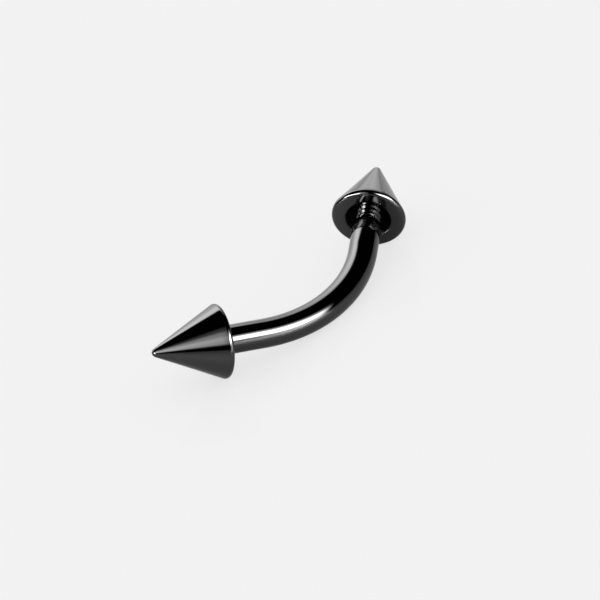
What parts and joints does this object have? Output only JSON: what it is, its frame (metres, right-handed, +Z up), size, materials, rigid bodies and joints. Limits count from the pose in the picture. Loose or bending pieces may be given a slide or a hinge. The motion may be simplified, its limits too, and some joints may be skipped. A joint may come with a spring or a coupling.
{
  "type": "curved eyebrow barbell",
  "caption": "Bent round bar with a threaded pin at each end and a pointed screw-on cone on each pin, worn through a small piercing; shown lying at rest.",
  "frame": {"origin": "on the surface that the barbell lies on, under the middle of its bounding box", "axes": "+X along the length, from the cone screwed close to the bar towards the cone screwed less far on; +Y from the outside of the bend towards the inside, where both cone tips lean; +Z up from the surface"},
  "size_m": [0.0148, 0.0038, 0.003],
  "materials": {
    "black_coated_steel": "polished"
  },
  "bodies": {
    "bar": {"curved_bar": "black_coated_steel"},
    "left_end": {"left_cone": "black_coated_steel"},
    "right_end": {"right_cone": "black_coated_steel"}
  },
  "joints": [
    {"name": "left_cone_thread", "type": "slide", "parent": "bar", "child": "left_end", "axis": [-0.8448, 0.476, 0.2445], "range_m": [-0.00062, 0.0017]},
    {"name": "right_cone_thread", "type": "slide", "parent": "bar", "child": "right_end", "axis": [0.8549, 0.4615, 0.237], "range_m": [-0.00081, 0.0015]}
  ]
}
